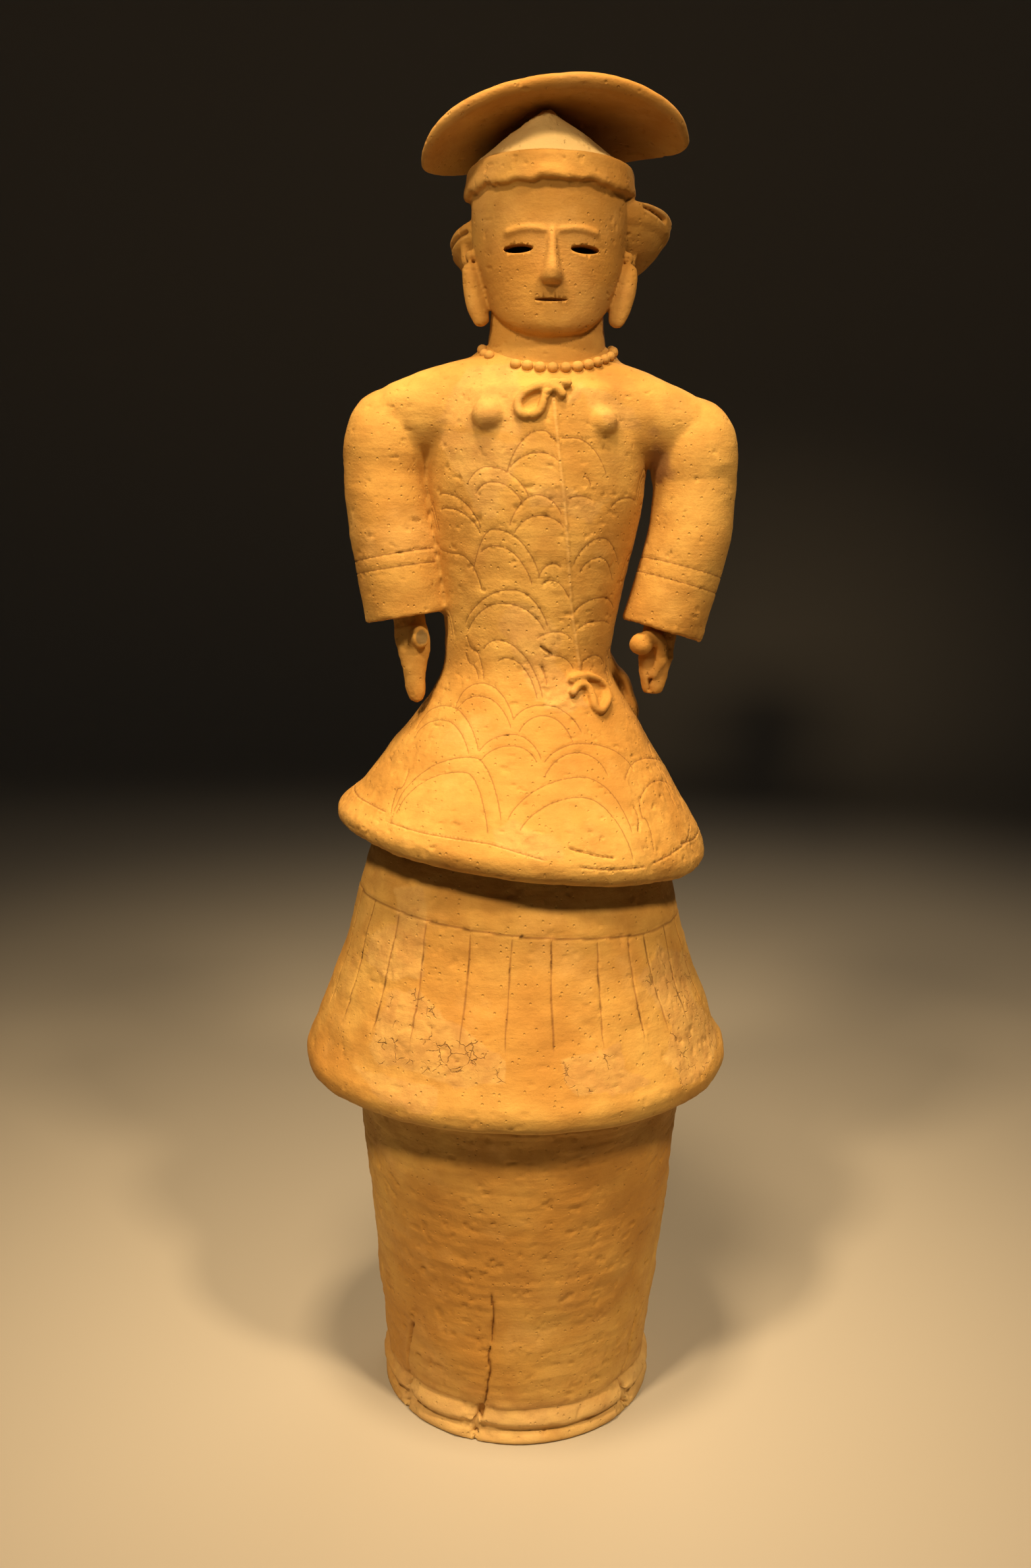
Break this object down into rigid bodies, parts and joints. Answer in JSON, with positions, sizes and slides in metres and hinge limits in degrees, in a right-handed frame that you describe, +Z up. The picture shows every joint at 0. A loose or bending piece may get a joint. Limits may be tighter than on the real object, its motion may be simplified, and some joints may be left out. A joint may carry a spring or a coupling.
{
  "type": "haniwa figure",
  "caption": "Hollow fired-clay haniwa: standing woman with hair board, jacket with incised waves and pleated skirt, on a round pedestal.",
  "frame": {"origin": "centre of the bounding box on the plane of the foot ring's underside", "axes": "+Z up, the figure faces -Y, +X towards its left hand"},
  "size_m": [0.424, 0.39, 1.2641],
  "materials": {
    "terracotta": "unglazed, matt, low-fired earthenware"
  },
  "bodies": {
    "root": {"haniwa_figure": "terracotta"}
  },
  "joints": []
}
